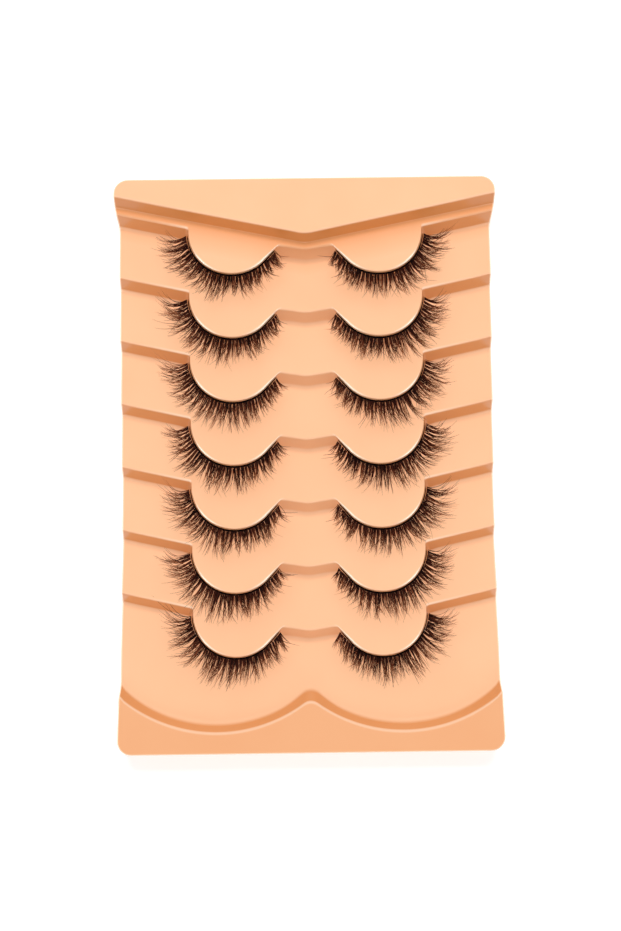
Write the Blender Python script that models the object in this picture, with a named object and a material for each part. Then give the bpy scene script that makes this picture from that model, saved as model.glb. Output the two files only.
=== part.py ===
"""False eyelash strips on their display tray, in metres, +Z up, +Y toward the tray's top ledge."""
import math

import bmesh
import bpy

for existing in list(bpy.data.objects):
    bpy.data.objects.remove(existing, do_unlink=True)

MM = 0.001

# Tray outline
ROWS = 7
HALF_LENGTH = 83.4
WAIST_HALF_WIDTH = 54.4
LEDGE_FLARE = 1.3
LOWER_FLARE = 0.9
PLATEAU_FLARE = 1.0
LEDGE_FLARE_START = 68.0
LEDGE_FLARE_END = 77.0
LOWER_FLARE_START = -10.0
LOWER_FLARE_END = -62.0
PLATEAU_FLARE_START = -62.0
PLATEAU_FLARE_END = -71.5
SIDE_DRAFT = 0.061
BACK_CORNER_RADIUS = 4.7
FRONT_CORNER_RADIUS = 4.9
SKIRT_HEIGHT = 1.0
SHEET_THICKNESS = 0.6

# Stepped shelves, all parallel and rising toward -Y
ROW_PITCH = 18.3
FIRST_STEP_Y = 61.95
STEP_CENTRE_HEIGHT = 10.6
SHELF_SLOPE = 0.3095
STEP_FOOT_SHIFT = 3.1
CHEVRON_SLOPE = 0.155
SIDE_EDGE_Y = 10.42
SIDE_EDGE_X = 51.0
SIDE_EDGE_SLOPE = 0.218

# Round lobes that carry the lash bands
LOBE_X = 21.1
LOBE_Y = 5.5
LOBE_RADIUS = 12.6
LOBE_WALL_SHIFT = 1.1
LOBE_TANGENT_ANGLE = math.radians(223.0)
LOBE_OUTER_ANGLE = math.radians(360.0)
LOBE_REMAP_ANGLE = math.radians(318.0)
INNER_CORNER_TRIM = 0.8
INNER_FOOT_TRIM = 1.3
OUTER_CORNER_TRIM = 0.75
OUTER_FOOT_TRIM = 1.1
LOBE_ARC_STEPS = 14
CORNER_STEPS = 3

# Top ledge with its shallow V
LEDGE_POINT_Y = 65.8
LEDGE_POINT_HEIGHT = 14.2
LEDGE_V_SLOPE = 0.2165
LEDGE_FOOT_Y = 63.5
LEDGE_FOOT_SLOPE = 0.2085

# Bottom plateau with two shallow arcs
FLATTEN_START_Y = -59.5
FLATTEN_LENGTH = 14.0
FLATTEN_ROWS = 3
PLATEAU_HEIGHT = 13.6
PLATEAU_PEAK_Y = -67.0
PLATEAU_ARC_Y = -76.5
PLATEAU_ARC_X = 26.7
PLATEAU_WALL_SHIFT = 2.6
PLATEAU_PEAK_SHIFT = 0.8
PLATEAU_PEAK_SHIFT_WIDTH = 9.0
PLATEAU_PEAK_TRIM = 2.2
PLATEAU_ARC_STEPS = 12
CORNER_ARC_STEPS = 4

# Lash band
BAND_GAP = 0.1
BAND_THICKNESS = 0.6
BAND_TOP_DEPTH = 0.3
BAND_HEIGHT = 1.0
BAND_OUTER_ANGLE = math.radians(355.0)
BAND_INNER_GAP = 1.7
BAND_STEPS = 12

# Lash fringe
ROOT_GAP = 0.1
ROOT_THICKNESS = 0.3
ROOT_TOP_DEPTH = 0.45
ROOT_HEIGHT = 0.7
LOCKS = 12
LOCK_SHARE = 0.74
LOCK_RINGS = ((0.36, 0.74, 0.55), (0.70, 0.42, 0.40))
CURL_DIP = -3.2
CURL_RISE = 3.9
INNER_LEAN = 0.5
OUTER_LEAN = 0.84
LOCK_LENGTHS = (
    (24.0, 4.2),
    (45.0, 5.4),
    (60.0, 6.3),
    (90.0, 7.9),
    (110.0, 8.9),
    (150.0, 9.3),
    (175.0, 9.2),
)
LOCK_SWEEPS = (
    (24.0, -0.5),
    (60.0, -0.2),
    (90.0, 0.0),
    (120.0, 0.6),
    (150.0, 1.5),
    (175.0, 2.3),
)

TRAY_COLOUR = (0.86, 0.50, 0.30, 1.0)
TRAY_ROUGHNESS = 0.28
BAND_COLOUR = (0.012, 0.010, 0.010, 1.0)
BAND_ROUGHNESS = 0.55
HAIR_COLOUR = (0.020, 0.011, 0.009, 1.0)
HAIR_ROUGHNESS = 0.42


def smoothstep(start, end, value):
    """Zero before the start, one past the end, smooth between them."""
    share = min(1.0, max(0.0, (value - start) / (end - start)))
    return share * share * (3.0 - 2.0 * share)


def base_half_width(y):
    """Half width of the tray at its base."""
    width = WAIST_HALF_WIDTH
    width += LEDGE_FLARE * smoothstep(LEDGE_FLARE_START, LEDGE_FLARE_END, y)
    width += LOWER_FLARE * smoothstep(LOWER_FLARE_START, LOWER_FLARE_END, y)
    width += PLATEAU_FLARE * smoothstep(PLATEAU_FLARE_START, PLATEAU_FLARE_END, y)
    return width


def side_x(y, z):
    """Half width of the drafted side wall at a height."""
    return base_half_width(y) - SIDE_DRAFT * z


def row_centre(row):
    """Y of a step's edge on the centre line."""
    return FIRST_STEP_Y - (row - 1) * ROW_PITCH


def shelf_height(index, y):
    """Height of inclined plane number index, 0 being the strip under the ledge."""
    return STEP_CENTRE_HEIGHT + SHELF_SLOPE * (FIRST_STEP_Y - index * ROW_PITCH - y)


def ledge_height(y):
    """Height of the top ledge, parallel to the shelves."""
    return LEDGE_POINT_HEIGHT - SHELF_SLOPE * (y - LEDGE_POINT_Y)


def last_shelf_height(y):
    """Height of the last shelf, which flattens toward the plateau."""
    if y >= FLATTEN_START_Y:
        return shelf_height(ROWS, y)
    run = min(FLATTEN_START_Y - y, FLATTEN_LENGTH)
    rise = SHELF_SLOPE * (run - run * run / (2.0 * FLATTEN_LENGTH))
    return shelf_height(ROWS, FLATTEN_START_Y) + rise


def corner_curve(before, corner, after, steps):
    """Smooth points from before to after round a corner, both ends included."""
    points = []
    for index in range(steps + 1):
        t = index / steps
        a = (1.0 - t) * (1.0 - t)
        b = 2.0 * t * (1.0 - t)
        c = t * t
        x = a * before[0] + b * corner[0] + c * after[0]
        y = a * before[1] + b * corner[1] + c * after[1]
        points.append((x, y))
    return points


def step_half(row, foot):
    """Right half of a step's edge, or of its foot, from the centre line to the side."""
    yc = row_centre(row)
    shift = STEP_FOOT_SHIFT if foot else 0.0
    radius = LOBE_RADIUS + (LOBE_WALL_SHIFT if foot else 0.0)
    inner_trim = INNER_FOOT_TRIM if foot else INNER_CORNER_TRIM
    outer_trim = OUTER_FOOT_TRIM if foot else OUTER_CORNER_TRIM
    centre = (LOBE_X, yc + LOBE_Y)

    def chevron(x):
        return yc - shift + CHEVRON_SLOPE * x

    def side_line(x):
        return yc - shift + SIDE_EDGE_Y + SIDE_EDGE_SLOPE * (x - SIDE_EDGE_X)

    # Straight flank between the lobe and the inner corner
    normal = (math.cos(LOBE_TANGENT_ANGLE), math.sin(LOBE_TANGENT_ANGLE))
    along = (normal[1], -normal[0])
    tangent = (centre[0] + radius * normal[0], centre[1] + radius * normal[1])
    reach = (chevron(tangent[0]) - tangent[1]) / (along[1] - CHEVRON_SLOPE * along[0])
    inner = (tangent[0] + reach * along[0], tangent[1] + reach * along[1])
    chevron_length = math.hypot(1.0, CHEVRON_SLOPE)
    before = (inner[0] - inner_trim / chevron_length, chevron(inner[0] - inner_trim / chevron_length))
    after = (inner[0] - inner_trim * along[0], inner[1] - inner_trim * along[1])

    points = [(0.0, yc - shift)]
    points += corner_curve(before, inner, after, CORNER_STEPS)

    # Outer corner, where the lobe meets the side edge
    if foot:
        angle = LOBE_OUTER_ANGLE
        for _ in range(12):
            x = centre[0] + radius * math.cos(angle)
            drop = (side_line(x) - centre[1]) / radius
            angle = LOBE_OUTER_ANGLE + math.asin(max(-1.0, min(1.0, drop)))
        outer = (centre[0] + radius * math.cos(angle), centre[1] + radius * math.sin(angle))
        end_angle = angle - outer_trim / radius
        start_outer = (centre[0] + radius * math.cos(end_angle), centre[1] + radius * math.sin(end_angle))
    else:
        outer = (centre[0] + radius, side_line(centre[0] + radius))
        end_angle = LOBE_OUTER_ANGLE
        start_outer = (outer[0], outer[1] - outer_trim)
    side_length = math.hypot(1.0, SIDE_EDGE_SLOPE)
    end_outer_x = outer[0] + outer_trim / side_length
    end_outer = (end_outer_x, side_line(end_outer_x))

    # Lobe arc, with the foot's last part drawn together so that it ends at its own corner
    for index in range(LOBE_ARC_STEPS):
        share = index / (LOBE_ARC_STEPS - 1)
        angle = LOBE_TANGENT_ANGLE + share * (LOBE_OUTER_ANGLE - LOBE_TANGENT_ANGLE)
        if foot and angle > LOBE_REMAP_ANGLE:
            past = (angle - LOBE_REMAP_ANGLE) / (LOBE_OUTER_ANGLE - LOBE_REMAP_ANGLE)
            last = end_angle - 0.4 * outer_trim / radius
            angle = LOBE_REMAP_ANGLE + past * (last - LOBE_REMAP_ANGLE)
        points.append((centre[0] + radius * math.cos(angle), centre[1] + radius * math.sin(angle)))
    points += corner_curve(start_outer, outer, end_outer, CORNER_STEPS)

    # Side end, on the drafted side wall
    plane = row if foot else row - 1
    x = SIDE_EDGE_X
    for _ in range(12):
        y = side_line(x)
        x = side_x(y, shelf_height(plane, y))
    points.append((x, side_line(x)))
    return points


def mirrored(half):
    """Full curve from the left side to the right side, from its right half."""
    left = [(-x, y) for x, y in reversed(half) if x > 0.0]
    return left + list(half)


def ledge_half(foot):
    """Right half of the ledge's V edge, or of its foot."""
    start = LEDGE_FOOT_Y if foot else LEDGE_POINT_Y
    slope = LEDGE_FOOT_SLOPE if foot else LEDGE_V_SLOPE
    x = SIDE_EDGE_X
    for _ in range(12):
        y = start + slope * x
        z = shelf_height(0, y) if foot else ledge_height(y)
        x = side_x(y, z)
    return [(0.0, start), (x, start + slope * x)]


def plateau_edge_y(x):
    """Y of the plateau's edge: one arc on each side of a rounded peak."""
    rise = PLATEAU_PEAK_Y - PLATEAU_ARC_Y
    radius = (PLATEAU_ARC_X * PLATEAU_ARC_X + rise * rise) / (2.0 * rise)

    def arc(distance):
        run = distance - PLATEAU_ARC_X
        return PLATEAU_ARC_Y + radius - math.sqrt(radius * radius - run * run)

    distance = abs(x)
    if distance >= PLATEAU_PEAK_TRIM:
        return arc(distance)
    slope = (arc(PLATEAU_PEAK_TRIM + 0.01) - arc(PLATEAU_PEAK_TRIM)) / 0.01
    bend = slope / (2.0 * PLATEAU_PEAK_TRIM)
    return arc(PLATEAU_PEAK_TRIM) + bend * (distance * distance - PLATEAU_PEAK_TRIM * PLATEAU_PEAK_TRIM)


def plateau_half(foot):
    """Right half of the plateau's edge, or of its foot on the last shelf."""

    def line_y(x):
        if not foot:
            return plateau_edge_y(x)
        near_peak = 1.0 - smoothstep(0.0, PLATEAU_PEAK_SHIFT_WIDTH, x)
        return plateau_edge_y(x) + PLATEAU_WALL_SHIFT + PLATEAU_PEAK_SHIFT * near_peak

    reach = SIDE_EDGE_X
    for _ in range(12):
        y = line_y(reach)
        z = last_shelf_height(y) if foot else PLATEAU_HEIGHT
        reach = side_x(y, z)
    points = []
    for index in range(PLATEAU_ARC_STEPS + 1):
        x = reach * index / PLATEAU_ARC_STEPS
        points.append((x, line_y(x)))
    return points


class Sheet:
    """The tray's top sheet, built curve by curve."""

    def __init__(self):
        self.mesh = bmesh.new()

    def vertex(self, x, y, z):
        return self.mesh.verts.new((x * MM, y * MM, z * MM))

    def curve(self, points, height):
        return [self.vertex(x, y, height(y)) for x, y in points]

    def face(self, vertices):
        self.mesh.faces.new(vertices)

    def wall(self, upper, lower):
        for index in range(len(upper) - 1):
            self.face((upper[index], upper[index + 1], lower[index + 1], lower[index]))

    def side_points(self, start_y, end_y, height, count):
        """Rim points between two curves' ends, left and right."""
        left, right = [], []
        for index in range(1, count + 1):
            y = start_y + (end_y - start_y) * index / (count + 1)
            z = height(y)
            x = side_x(y, z)
            left.append(self.vertex(-x, y, z))
            right.append(self.vertex(x, y, z))
        return left, right


def corner_points(centre_y, sign_y, radius, height, across_y):
    """Right corner of the outline, from its side to its back or front edge, with base points."""
    centre_x = base_half_width(across_y) - radius
    top, base = [], []
    for index in range(CORNER_ARC_STEPS + 1):
        angle = 0.5 * math.pi * index / CORNER_ARC_STEPS
        nx, ny = math.cos(angle), sign_y * math.sin(angle)
        bx, by = centre_x + radius * nx, centre_y + radius * ny
        z = height(by)
        for _ in range(8):
            z = height(by - ny * SIDE_DRAFT * z)
        x, y = bx - nx * SIDE_DRAFT * z, by - ny * SIDE_DRAFT * z
        top.append((x, y, z))
        base.append((bx, by, nx, ny))
    return top, base


def build_tray_sheet():
    """The whole top sheet, its side walls and its skirt, before it is given a thickness."""
    sheet = Sheet()
    rim_left, rim_right, base_left, base_right = [], [], [], []

    def note(left, right):
        for vertex in left:
            y = vertex.co.y / MM
            rim_left.append(vertex)
            base_left.append((-base_half_width(y), y, -1.0, 0.0))
        for vertex in right:
            y = vertex.co.y / MM
            rim_right.append(vertex)
            base_right.append((base_half_width(y), y, 1.0, 0.0))

    # Ledge
    top, base = corner_points(
        HALF_LENGTH - BACK_CORNER_RADIUS, 1.0, BACK_CORNER_RADIUS, ledge_height, HALF_LENGTH
    )
    back_right = [sheet.vertex(x, y, z) for x, y, z in reversed(top)]
    back_left = [sheet.vertex(-x, y, z) for x, y, z in reversed(top)]
    rim_right += back_right
    rim_left += back_left
    base_right += list(reversed(base))
    base_left += [(-x, y, -nx, ny) for x, y, nx, ny in reversed(base)]
    upper = sheet.curve(mirrored(ledge_half(False)), ledge_height)
    sheet.face(list(reversed(back_left)) + back_right + list(reversed(upper)))
    note([upper[0]], [upper[-1]])
    lower = sheet.curve(mirrored(ledge_half(True)), lambda y: shelf_height(0, y))
    sheet.wall(upper, lower)
    note([lower[0]], [lower[-1]])

    # Strip under the ledge, then every step and its shelf
    for row in range(1, ROWS + 1):
        plane = row - 1
        edge = sheet.curve(mirrored(step_half(row, False)), lambda y, p=plane: shelf_height(p, y))
        start_y, end_y = lower[-1].co.y / MM, edge[-1].co.y / MM
        count = 0 if row == 1 else 1
        left, right = sheet.side_points(start_y, end_y, lambda y, p=plane: shelf_height(p, y), count)
        sheet.face(lower + right + list(reversed(edge)) + list(reversed(left)))
        note(left, right)
        note([edge[0]], [edge[-1]])
        foot = sheet.curve(mirrored(step_half(row, True)), lambda y, p=row: shelf_height(p, y))
        sheet.wall(edge, foot)
        note([foot[0]], [foot[-1]])
        lower = foot

    # Last shelf: its plane part, then the part that flattens toward the plateau
    foot_half = plateau_half(True)
    reach = side_x(FLATTEN_START_Y, last_shelf_height(FLATTEN_START_Y))
    shares = [x / foot_half[-1][0] for x, _ in foot_half]
    line_half = [(reach * share, FLATTEN_START_Y) for share in shares]
    line = sheet.curve(mirrored(line_half), last_shelf_height)
    left, right = sheet.side_points(lower[-1].co.y / MM, FLATTEN_START_Y, last_shelf_height, 1)
    sheet.face(lower + right + list(reversed(line)) + list(reversed(left)))
    note(left, right)
    note([line[0]], [line[-1]])
    previous = line
    for step in range(1, FLATTEN_ROWS + 1):
        share = step / FLATTEN_ROWS
        row_half = []
        for (x0, y0), (x1, y1) in zip(line_half, foot_half):
            row_half.append((x0 + share * (x1 - x0), y0 + share * (y1 - y0)))
        end_y = row_half[-1][1]
        row_half[-1] = (side_x(end_y, last_shelf_height(end_y)), end_y)
        current = sheet.curve(mirrored(row_half), last_shelf_height)
        sheet.wall(previous, current)
        note([current[0]], [current[-1]])
        previous = current

    # Plateau
    edge = sheet.curve(mirrored(plateau_half(False)), lambda y: PLATEAU_HEIGHT)
    sheet.wall(previous, edge)
    note([edge[0]], [edge[-1]])
    top, base = corner_points(
        FRONT_CORNER_RADIUS - HALF_LENGTH,
        -1.0,
        FRONT_CORNER_RADIUS,
        lambda y: PLATEAU_HEIGHT,
        -HALF_LENGTH,
    )
    left, right = sheet.side_points(edge[-1].co.y / MM, top[0][1], lambda y: PLATEAU_HEIGHT, 1)
    note(left, right)
    front_right = [sheet.vertex(x, y, z) for x, y, z in top]
    front_left = [sheet.vertex(-x, y, z) for x, y, z in top]
    sheet.face(edge + right + front_right + list(reversed(front_left)) + list(reversed(left)))
    rim_right += front_right
    rim_left += front_left
    base_right += base
    base_left += [(-x, y, -nx, ny) for x, y, nx, ny in base]

    # Side walls and skirt all round
    rim = rim_right + list(reversed(rim_left))
    base = base_right + list(reversed(base_left))
    skirt_top, skirt_foot = [], []
    for x, y, nx, ny in base:
        inset = SIDE_DRAFT * SKIRT_HEIGHT
        skirt_top.append(sheet.vertex(x - nx * inset, y - ny * inset, SKIRT_HEIGHT))
        skirt_foot.append(sheet.vertex(x - nx * inset, y - ny * inset, 0.0))
    count = len(rim)
    for index in range(count):
        after = (index + 1) % count
        sheet.face((rim[index], skirt_top[index], skirt_top[after], rim[after]))
        sheet.face((skirt_top[index], skirt_foot[index], skirt_foot[after], skirt_top[after]))
    return sheet.mesh


def material(name, colour, roughness):
    """One Principled material."""
    item = bpy.data.materials.new(name)
    item.use_nodes = True
    shader = item.node_tree.nodes["Principled BSDF"]
    shader.inputs["Base Color"].default_value = colour
    shader.inputs["Roughness"].default_value = roughness
    item.diffuse_color = colour
    return item


def add_object(name, mesh, colour, roughness):
    """Turn a bmesh into a named object with its own material."""
    bmesh.ops.recalc_face_normals(mesh, faces=mesh.faces)
    data = bpy.data.meshes.new(name)
    mesh.to_mesh(data)
    mesh.free()
    item = bpy.data.objects.new(name, data)
    item.data.materials.append(material(name + "_finish", colour, roughness))
    bpy.context.scene.collection.objects.link(item)
    return item


def lobe_station(row, share):
    """Edge point, outward plan normal and radial angle at a share of the band, 0 at its outer end."""
    yc = row_centre(row)
    centre = (LOBE_X, yc + LOBE_Y)
    normal = (math.cos(LOBE_TANGENT_ANGLE), math.sin(LOBE_TANGENT_ANGLE))
    along = (normal[1], -normal[0])
    tangent = (centre[0] + LOBE_RADIUS * normal[0], centre[1] + LOBE_RADIUS * normal[1])
    reach = (yc + CHEVRON_SLOPE * tangent[0] - tangent[1]) / (along[1] - CHEVRON_SLOPE * along[0])
    arc_length = LOBE_RADIUS * (BAND_OUTER_ANGLE - LOBE_TANGENT_ANGLE)
    total = arc_length + reach - BAND_INNER_GAP
    distance = share * total
    if distance <= arc_length:
        angle = BAND_OUTER_ANGLE - distance / LOBE_RADIUS
        outward = (math.cos(angle), math.sin(angle))
        point = (centre[0] + LOBE_RADIUS * outward[0], centre[1] + LOBE_RADIUS * outward[1])
    else:
        run = distance - arc_length
        outward = normal
        point = (tangent[0] + run * along[0], tangent[1] + run * along[1])
    radial = math.atan2(-(point[1] - centre[1]), -(point[0] - centre[0]))
    return point, outward, math.degrees(radial)


def wall_point(row, share, depth, out):
    """Point at a depth below the lobe's edge, measured down its wall, and a distance out from it."""
    point, outward, _ = lobe_station(row, share)
    edge_z = shelf_height(row - 1, point[1])
    foot_y = point[1] + LOBE_WALL_SHIFT * outward[1]
    fall = edge_z - shelf_height(row, foot_y)
    length = math.hypot(LOBE_WALL_SHIFT, fall)
    down_plan, down_z = LOBE_WALL_SHIFT / length, -fall / length
    out_plan, out_z = fall / length, LOBE_WALL_SHIFT / length
    plan = depth * down_plan + out * out_plan
    x = point[0] + plan * outward[0]
    y = point[1] + plan * outward[1]
    return (x, y, edge_z + depth * down_z + out * out_z)


def strip_ring(row, share, top_depth, height, inner, thickness):
    """Four corners of a strip's section: inner top, inner bottom, outer bottom, outer top."""
    bottom_depth = top_depth + height
    return (
        wall_point(row, share, top_depth, inner),
        wall_point(row, share, bottom_depth, inner),
        wall_point(row, share, bottom_depth, inner + thickness),
        wall_point(row, share, top_depth, inner + thickness),
    )


def build_band(row, side):
    """Band that follows the lobe's wall just below its edge."""
    mesh = bmesh.new()
    rings = []
    for index in range(BAND_STEPS + 1):
        section = strip_ring(row, index / BAND_STEPS, BAND_TOP_DEPTH, BAND_HEIGHT, BAND_GAP, BAND_THICKNESS)
        rings.append([mesh.verts.new((side * x * MM, y * MM, z * MM)) for x, y, z in section])
    for first, second in zip(rings, rings[1:]):
        for index in range(4):
            after = (index + 1) % 4
            mesh.faces.new((first[index], first[after], second[after], second[index]))
    mesh.faces.new(rings[0])
    mesh.faces.new(rings[-1])
    return mesh


def by_radial(table, radial):
    """Value at a radial angle, from a table of angles and values."""
    first = table[0]
    if radial <= first[0]:
        return first[1]
    for second in table[1:]:
        if radial <= second[0]:
            share = (radial - first[0]) / (second[0] - first[0])
            return first[1] + share * (second[1] - first[1])
        first = second
    return first[1]


def lock_path(row, share, t, root):
    """Point on a lash that leaves a root point, with its sideways direction in plan."""
    _, _, radial = lobe_station(row, share)
    lean = 90.0 + (radial - 90.0) * (OUTER_LEAN if radial >= 90.0 else INNER_LEAN)
    direction = (-math.cos(math.radians(lean)), -math.sin(math.radians(lean)))
    length = by_radial(LOCK_LENGTHS, radial)
    normal_length = math.hypot(1.0, SHELF_SLOPE)
    lift = CURL_DIP * t + CURL_RISE * t * t
    forward = direction[1] * length * t + by_radial(LOCK_SWEEPS, radial) * t * t * t
    x = root[0] + direction[0] * length * t
    y = root[1] + forward + lift * SHELF_SLOPE / normal_length
    z = root[2] - SHELF_SLOPE * forward + lift / normal_length
    return (x, y, z), (-direction[1], direction[0])


def build_fringe(row, side):
    """Root strip with pointed locks fused to it."""
    mesh = bmesh.new()
    inner = BAND_GAP + BAND_THICKNESS + ROOT_GAP
    spacer = (1.0 - LOCK_SHARE) / (LOCKS + 1)
    lock = LOCK_SHARE / LOCKS
    shares = [0.0]
    for _ in range(LOCKS):
        shares.append(shares[-1] + spacer)
        shares.append(shares[-1] + lock)
    shares.append(1.0)
    rings = []
    for share in shares:
        section = strip_ring(row, share, ROOT_TOP_DEPTH, ROOT_HEIGHT, inner, ROOT_THICKNESS)
        rings.append([mesh.verts.new((side * x * MM, y * MM, z * MM)) for x, y, z in section])

    def point(position):
        return mesh.verts.new((side * position[0] * MM, position[1] * MM, position[2] * MM))

    for index, (first, second) in enumerate(zip(rings, rings[1:])):
        is_lock = index % 2 == 1
        for corner in (0, 1, 3):
            after = (corner + 1) % 4
            mesh.faces.new((first[corner], first[after], second[after], second[corner]))
        if not is_lock:
            mesh.faces.new((first[2], first[3], second[3], second[2]))
            continue
        middle = 0.5 * (shares[index] + shares[index + 1])
        depth = ROOT_TOP_DEPTH + 0.5 * ROOT_HEIGHT
        root = wall_point(row, middle, depth, inner + ROOT_THICKNESS)
        start = wall_point(row, shares[index], depth, inner + ROOT_THICKNESS)
        end = wall_point(row, shares[index + 1], depth, inner + ROOT_THICKNESS)
        width = math.dist(start, end)
        previous = (first[3], first[2], second[2], second[3])
        for t, width_share, thickness in LOCK_RINGS:
            (x, y, z), across = lock_path(row, middle, t, root)
            half = 0.5 * width * width_share
            up = 0.5 * thickness
            sideways = (start[0] - end[0]) * across[0] + (start[1] - end[1]) * across[1]
            half = half if sideways > 0.0 else -half
            ring = (
                point((x + across[0] * half, y + across[1] * half, z + up)),
                point((x + across[0] * half, y + across[1] * half, z - up)),
                point((x - across[0] * half, y - across[1] * half, z - up)),
                point((x - across[0] * half, y - across[1] * half, z + up)),
            )
            for corner in range(4):
                after = (corner + 1) % 4
                mesh.faces.new((previous[corner], previous[after], ring[after], ring[corner]))
            previous = ring
        tip = point(lock_path(row, middle, 1.0, root)[0])
        for corner in range(4):
            mesh.faces.new((previous[corner], previous[(corner + 1) % 4], tip))
    mesh.faces.new(rings[0])
    mesh.faces.new(rings[-1])
    return mesh


def build_tray():
    """The tray as one thin formed sheet."""
    tray = add_object("tray", build_tray_sheet(), TRAY_COLOUR, TRAY_ROUGHNESS)
    ledge_up = tray.data.polygons[0].normal.z > 0.0
    if not ledge_up:
        tray.data.flip_normals()
    shell = tray.modifiers.new("sheet", "SOLIDIFY")
    shell.thickness = SHEET_THICKNESS * MM
    shell.offset = -1.0
    shell.use_even_offset = True
    shell.use_rim = True
    return tray


build_tray()
for row_number in range(1, ROWS + 1):
    for side_name, side_sign in (("L", -1.0), ("R", 1.0)):
        suffix = side_name + str(row_number)
        add_object("band_" + suffix, build_band(row_number, side_sign), BAND_COLOUR, BAND_ROUGHNESS)
        add_object("fringe_" + suffix, build_fringe(row_number, side_sign), HAIR_COLOUR, HAIR_ROUGHNESS)
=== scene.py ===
import math
from functools import partial

import bmesh
import bpy
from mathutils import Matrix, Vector


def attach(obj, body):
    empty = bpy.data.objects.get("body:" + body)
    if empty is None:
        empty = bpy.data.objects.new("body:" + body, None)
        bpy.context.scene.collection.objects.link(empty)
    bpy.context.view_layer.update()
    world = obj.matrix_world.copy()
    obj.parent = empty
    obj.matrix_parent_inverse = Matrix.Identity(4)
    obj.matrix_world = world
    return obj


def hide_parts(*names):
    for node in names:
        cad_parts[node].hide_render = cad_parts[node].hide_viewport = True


MM = 0.001

# Tray outline, in millimetres
ROWS = 7
HALF_LENGTH = 83.4
WAIST_HALF_WIDTH = 54.4
LEDGE_FLARE = 1.3
LOWER_FLARE = 0.9
PLATEAU_FLARE = 1.0
LEDGE_FLARE_START = 68.0
LEDGE_FLARE_END = 77.0
LOWER_FLARE_START = -10.0
LOWER_FLARE_END = -62.0
PLATEAU_FLARE_START = -62.0
PLATEAU_FLARE_END = -71.5
SIDE_DRAFT = 0.061
BACK_CORNER_RADIUS = 4.7
FRONT_CORNER_RADIUS = 4.9
SKIRT_HEIGHT = 1.0
SHEET_THICKNESS = 0.6
SHELF_RIM_POINTS = 2

# How often the crossing of a line with the drafted side is worked out again from the last one
SIDE_ROUNDS = 12
CORNER_ROUNDS = 8

# Stepped shelves
ROW_PITCH = 18.3
FIRST_STEP_Y = 61.95
STEP_CENTRE_HEIGHT = 10.6
SHELF_SLOPE = 0.3095
STEP_FOOT_SHIFT = 3.1
CHEVRON_SLOPE = 0.155
CHEVRON_ROUNDING = 1.6
SIDE_EDGE_Y = 10.42
SIDE_EDGE_X = 51.0
SIDE_EDGE_SLOPE = 0.218

# Round lobes that carry the bands
LOBE_X = 21.1
LOBE_Y = 5.5
LOBE_RADIUS = 12.6
LOBE_WALL_SHIFT = 1.1
LOBE_TANGENT_ANGLE = math.radians(223.0)
LOBE_OUTER_ANGLE = math.radians(360.0)
LOBE_REMAP_ANGLE = math.radians(318.0)
INNER_CORNER_TRIM = 0.8
INNER_FOOT_TRIM = 1.3
OUTER_CORNER_TRIM = 0.75
OUTER_FOOT_TRIM = 1.1
LOBE_ARC_STEPS = 44
CORNER_STEPS = 7
STRAIGHT_SHARES = (0.1, 0.25, 0.5, 0.75)
FOOT_ARC_END_SHARE = 0.1

# Top ledge
LEDGE_POINT_Y = 65.8
LEDGE_POINT_HEIGHT = 14.2
LEDGE_V_SLOPE = 0.2165
LEDGE_FOOT_Y = 63.5
LEDGE_FOOT_SLOPE = 0.2085
LEDGE_ROUNDING = 2.2

# Bottom plateau
FLATTEN_START_Y = -59.5
FLATTEN_LENGTH = 14.0
FLATTEN_ROWS = 8
PLATEAU_HEIGHT = 13.6
PLATEAU_PEAK_Y = -67.0
PLATEAU_ARC_Y = -76.5
PLATEAU_ARC_X = 26.7
PLATEAU_WALL_SHIFT = 2.6
PLATEAU_PEAK_SHIFT = 0.8
PLATEAU_PEAK_SHIFT_WIDTH = 9.0
PLATEAU_PEAK_TRIM = 2.2
PLATEAU_ARC_STEPS = 44
PLATEAU_POINT_POWER = 1.25
PEAK_SLOPE_RUN = 0.01
CORNER_ARC_STEPS = 10

# Rounding that the forming leaves on edges and feet
EDGE_ROUNDING = 0.65
FOOT_ROUNDING = 1.35
LOBE_FOOT_ROUNDING = 0.5
LEDGE_FOOT_ROUNDING = 0.9
FOOT_ROUNDING_RAMP = 3.5
RIM_ROUNDING = 0.45
EDGE_STEPS = 4
FOOT_STEPS = 6
RIM_STEPS = 4

# Painted highlight: how pale an edge is painted where it is straight and where it flanks a lobe, and on
# the rim
STEP_EDGE_HIGHLIGHT = (0.04, 1.0)
LEDGE_EDGE_HIGHLIGHT = (0.1, 0.1)
PLATEAU_EDGE_HIGHLIGHT = (0.28, 0.28)
RIM_HIGHLIGHT = 0.8
FLANK_START = 0.15
FLANK_END = 0.8

# Painted shade: how far each wall's colour is darkened toward the wall shade colour, standing in for
# the shade on steep walls, with some deeper tone of sheet drawn thin
LEDGE_TONE = 0.8
SIDE_TONE = 0.7
CHEVRON_TONE = 0.22
CHEVRON_TONE_END = 12.0
SIDE_TONE_START = 32.0
PLATEAU_TONE = 0.66
PLATEAU_TOP_SHADE = 0.34
OUTSIDE_TONE = 0.5

# Band
BAND_GAP = 0.1
BAND_THICKNESS = 0.6
BAND_TOP_DEPTH = 0.3
BAND_HEIGHT = 1.0
BAND_OUTER_ANGLE = math.radians(355.0)
BAND_INNER_GAP = 1.7
BAND_STATIONS = 176
BAND_SECTION = 8
BAND_KNOT_PITCH = 0.55
BAND_KNOT_SWELL = 0.06
BAND_END_SHARE = 0.45
BAND_END_RUN = 9.0
BAND_TIP_SHARE = 0.45
BAND_TIP_RUN = 0.8
BAND_SECTION_POWER = -0.35
BAND_SECTION_SHARE = 0.93

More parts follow.
